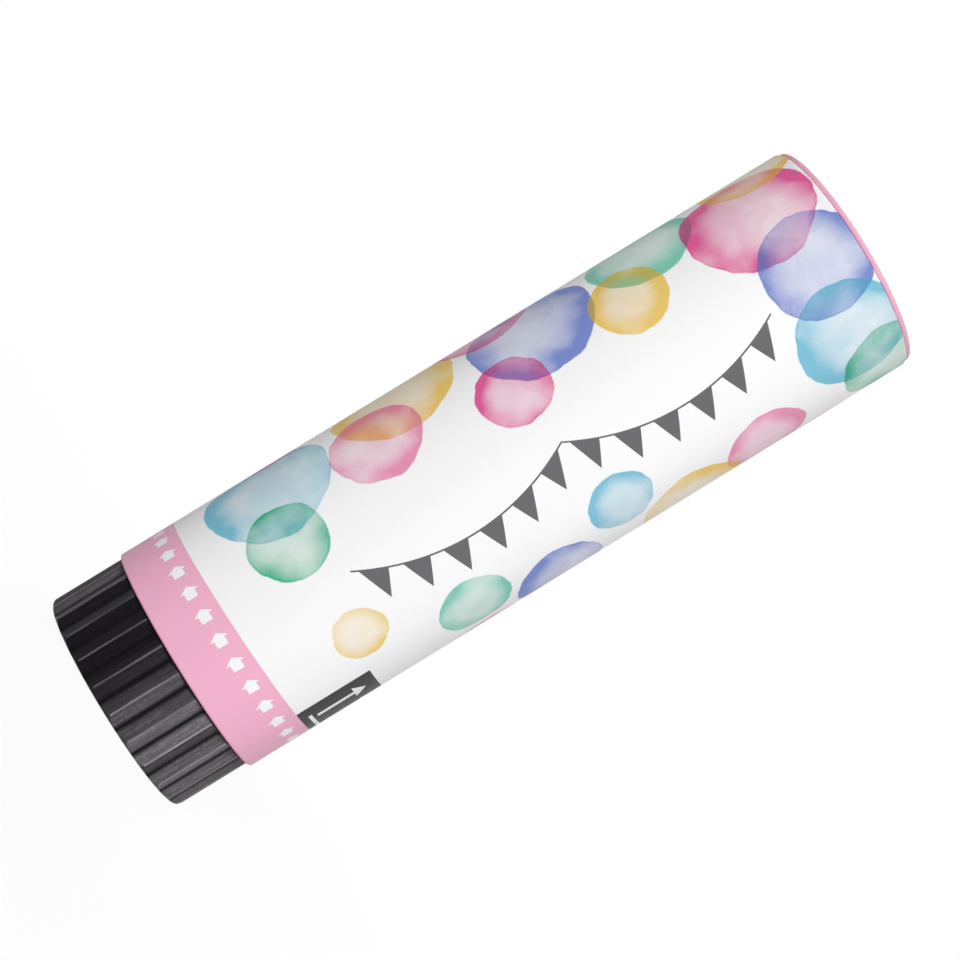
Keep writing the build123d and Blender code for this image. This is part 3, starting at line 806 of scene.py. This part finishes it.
def wrap_sheet():
    """Printed sheet round the tube, with the raised edge of its lap along the back."""
    sheet = spun(wrap_profile())
    lap_start = math.pi / 2 - WRAP_LAP_ANGLE
    lap = spun(wrap_profile(), WRAP_LAP_ANGLE, WRAP_LAP_STEPS, lap_start)
    for vert in lap.verts:
        share = (math.atan2(vert.co.y, vert.co.x) - lap_start) / WRAP_LAP_ANGLE
        rise = (WRAP_LAP_TUCK + WRAP_LAP_RISE) * share - WRAP_LAP_TUCK
        vert.co += Vector((vert.co.x, vert.co.y, 0)).normalized() * rise
    lap_mesh = bpy.data.meshes.new("wrap_lap")
    lap.to_mesh(lap_mesh)
    lap.free()
    sheet.from_mesh(lap_mesh)
    bpy.data.meshes.remove(lap_mesh)
    bmesh.ops.solidify(sheet, geom=sheet.faces[:], thickness=WRAP_SHEET)
    new_piece("printed_wrap_sheet", sheet, "barrel", "printed_paper", "printed_wrap")


def lid_disc():
    """Pink lid with soft edges and a shallow pressed ring on its top."""
    low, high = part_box("lid_cover")
    edge = LID_EDGE_RADIUS
    points = [(0, low.z)]
    points += arc(high.x - edge, low.z + edge, edge, -90, 0)
    points += arc(high.x - edge, high.z - edge, edge, 0, 90)
    for k in range(EDGE_STEPS + 1):
        share = k / EDGE_STEPS
        radius = LID_RING_RADIUS + LID_RING_WIDTH * (0.5 - share)
        points.append((radius, high.z - LID_RING_DEPTH * math.sin(math.pi * share) ** 2))
    points.append((0, high.z))
    new_piece("lid_disc", spun(points), "lid", "lid_pink", "lid_cover")


def board_disc(name, node, body, slot, plies):
    """Card disc in the place of a node, with a groove round its edge between each two plies."""
    low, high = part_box(node)
    ply = (high.z - low.z) / plies
    points = [(0, low.z)]
    for k in range(plies):
        bottom = low.z + k * ply
        points.append((high.x - PLY_GROOVE, bottom))
        points.append((high.x, bottom + ply * PLY_BEVEL_SHARE))
        points.append((high.x, bottom + ply * (1 - PLY_BEVEL_SHARE)))
    points.append((high.x - PLY_GROOVE, high.z))
    points.append((0, high.z))
    new_piece(name, spun(points), body, slot, node)


def felt_disc():
    """Felt disc with rounded edges and a lumpy, fuzzy surface that stays inside its CAD solid."""
    low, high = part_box("wad_felt")
    edge = FELT_EDGE_RADIUS
    flat = [(high.x - edge) * k / FELT_RINGS for k in range(FELT_RINGS)]
    points = [(radius, low.z) for radius in flat]
    points += arc(high.x - edge, low.z + edge, edge, -90, 0)
    points += arc(high.x - edge, high.z - edge, edge, 0, 90)
    points += [(radius, high.z) for radius in reversed(flat)]
    shape = spun(points)
    shape.normal_update()
    for vert in shape.verts:
        lump = noise.noise(vert.co / FELT_PATCH) + FELT_FINE_SHARE * noise.noise(vert.co / FELT_FINE_PATCH)
        vert.co += vert.normal * FELT_FUZZ * (lump / (1 + FELT_FINE_SHARE) - 1)
    new_piece("felt_disc", shape, "wad", "wad_felt", "wad_felt")


def valve_spring_coil():
    """Coil of the valve spring at its rest length; the real spring shortens as the pin lifts the poppet."""
    low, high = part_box("valve_spring")
    wire_radius = SPRING_WIRE / 2
    steps = SPRING_TURNS * SPRING_TURN_STEPS
    rise = high.z - low.z - SPRING_WIRE
    shape = bmesh.new()
    wire_end = Matrix.Translation((high.x - wire_radius, 0, low.z + wire_radius))
    upright = Matrix.Rotation(math.pi / 2, 4, "X")
    bmesh.ops.create_circle(shape, segments=WIRE_SIDES, radius=wire_radius, matrix=wire_end @ upright)
    bmesh.ops.spin(
        shape, geom=shape.verts[:] + shape.edges[:], cent=(0, 0, 0), axis=(0, 0, 1),
        dvec=(0, 0, rise / steps), angle=2 * math.pi * SPRING_TURNS, steps=steps)
    bmesh.ops.holes_fill(shape, edges=[edge for edge in shape.edges if edge.is_boundary])
    bmesh.ops.recalc_face_normals(shape, faces=shape.faces[:])
    coil = new_piece("valve_spring_coil", shape, "barrel", "spring_steel", "valve_spring")
    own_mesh(coil)


def bundle_boxes(node):
    """Lowest and highest corners of the separate bundles in a confetti node."""
    shape = bmesh.new()
    shape.from_mesh(nodes[node].data)
    bmesh.ops.remove_doubles(shape, verts=shape.verts[:], dist=MERGE_DISTANCE)
    boxes = []
    left = set(shape.verts)
    for first in shape.verts:
        if first not in left:
            continue
        left.discard(first)
        reached = [first]
        for vert in reached:
            for edge in vert.link_edges:
                other = edge.other_vert(vert)
                if other in left:
                    left.discard(other)
                    reached.append(other)
        corners = [[vert.co[axis] for vert in reached] for axis in range(3)]
        boxes.append((Vector(map(min, corners)), Vector(map(max, corners))))
    shape.free()
    return boxes


def add_slips(shape, tone, low, high, draw):
    """Fills one bundle's box with upright slips, each a little out of line with the next."""
    size = high - low
    middle = (low + high) / 2
    wide, deep = (0, 1) if size.x > size.y else (1, 0)
    count = round(size[deep] / SLIP_PITCH)
    for k in range(count):
        made = bmesh.ops.create_grid(shape, x_segments=1, y_segments=SLIP_STEPS, size=0.5)["verts"]
        aside, lift = draw.uniform(-1, 1) * SLIP_STRAY, draw.uniform(-1, 1) * SLIP_MARGIN
        bow, phase = draw.uniform(-1, 1) * SLIP_BOW, draw.uniform(0, math.pi)
        lean = draw.uniform(-1, 1) * SLIP_LEAN
        shade = draw.random()
        for vert in made:
            across, along = vert.co.x, vert.co.y
            place = Vector((0, 0, middle.z + along * (size.z - 2 * SLIP_MARGIN) + lift))
            place[wide] = middle[wide] + across * (size[wide] - 2 * SLIP_MARGIN) + aside + along * lean
            bend = bow * math.sin(2 * math.pi * along + phase)
            place[deep] = low[deep] + (k + 0.5) * size[deep] / count + bend
            vert.co = place
            vert[tone] = shade


def confetti_slips(colour, draw):
    """All the slips of one colour, bundle by bundle."""
    shape = bmesh.new()
    tone = shape.verts.layers.float.new("slip_tone")
    for low, high in bundle_boxes("confetti_" + colour):
        add_slips(shape, tone, low, high, draw)
    bmesh.ops.solidify(shape, geom=shape.faces[:], thickness=SLIP_SHEET)
    new_piece("slips_" + colour, shape, "confetti", "paper_" + colour, "confetti_" + colour)


def stage_floor():
    """Pale floor: white to the camera far off, with the popper's own soft shadow near it."""
    material = bpy.data.materials.new("studio_floor")
    material.use_nodes = True
    bench = Bench(material.node_tree)
    material.node_tree.nodes.clear()
    seen = bench.seen()
    away = bench.length(bench.place())
    white = bench.scale(bench.fade(away, FLOOR_SHADOW_START, FLOOR_SHADOW_END), FLOOR_WHITE_SHARE, 1.0)
    matte = bench.node("ShaderNodeBsdfDiffuse", {"Color": bench.blend(seen, FLOOR_BOUNCE, FLOOR_PAINT)})
    glow = bench.node("ShaderNodeEmission", {"Color": WHITE, "Strength": 1.0})
    joined = bench.join(bench.math("MULTIPLY", seen, white), matte, glow)
    bench.node("ShaderNodeOutputMaterial", {"Surface": joined})
    shape = bmesh.new()
    bmesh.ops.create_circle(
        shape, cap_ends=True, segments=FLOOR_SEGMENTS, radius=FLOOR_RADIUS,
        matrix=Matrix.Translation((0, 0, -FLOOR_GAP)))
    new_object("studio_floor", shape, material)


def studio_world():
    """White surroundings, dimmer as a light than as a background."""
    world = bpy.data.worlds.new("studio_world")
    world.use_nodes = True
    bench = Bench(world.node_tree)
    world.node_tree.nodes.clear()
    light = bench.node("ShaderNodeBackground", {"Color": WHITE, "Strength": AMBIENT_STRENGTH})
    white = bench.node("ShaderNodeBackground", {"Color": WHITE, "Strength": 1.0})
    bench.node("ShaderNodeOutputWorld", {"Surface": bench.join(bench.seen(), light, white)})
    bpy.context.scene.world = world


def area_lamp(name, turn, rise, distance, size, power):
    """Square soft lamp that faces the middle of the popper."""
    lamp = bpy.data.lights.new(name, "AREA")
    lamp.size = size
    lamp.energy = power
    holder = bpy.data.objects.new(name, lamp)
    bpy.context.scene.collection.objects.link(holder)
    turn, rise = math.radians(turn), math.radians(rise)
    way = Vector((math.sin(turn) * math.cos(rise), -math.cos(turn) * math.cos(rise), math.sin(rise)))
    holder.location = Vector((0, 0, VIEW_HEIGHT)) + way * distance
    holder.rotation_euler = (-way).to_track_quat("-Z", "Y").to_euler()


def camera():
    """Camera that looks at the tube's middle, rolled so that the lid is at the upper right."""
    eye = bpy.data.cameras.new("camera")
    eye.lens = eye.sensor_width * FOCAL_PIXELS / IMAGE_PIXELS
    holder = bpy.data.objects.new("camera", eye)
    bpy.context.scene.collection.objects.link(holder)
    pitch = math.atan2(VIEW_HEIGHT - EYE_HEIGHT, VIEW_DISTANCE)
    upright = Matrix.Rotation(math.pi / 2 + pitch, 4, "X")
    place = Matrix.Translation((0, -VIEW_DISTANCE, EYE_HEIGHT))
    holder.matrix_world = place @ upright @ Matrix.Rotation(VIEW_ROLL, 4, "Z")
    bpy.context.scene.camera = holder


dress_cad_nodes()
wrap_sheet()
lid_disc()
board_disc("lid_board_disc", "lid_plug", "lid", "lid_board", LID_PLIES)
board_disc("wad_board_disc", "wad_card", "wad", "wad_board", WAD_PLIES)
felt_disc()
valve_spring_coil()
slip_draw = random.Random(SLIP_SEED)
for slip_colour in SLIP_TONES:
    confetti_slips(slip_colour, slip_draw)
stage_floor()
studio_world()
area_lamp("key_lamp", **KEY_LAMP)
area_lamp("side_lamp", **SIDE_LAMP)
area_lamp("back_lamp", **BACK_LAMP)
camera()
bpy.context.scene.view_settings.view_transform = "Standard"
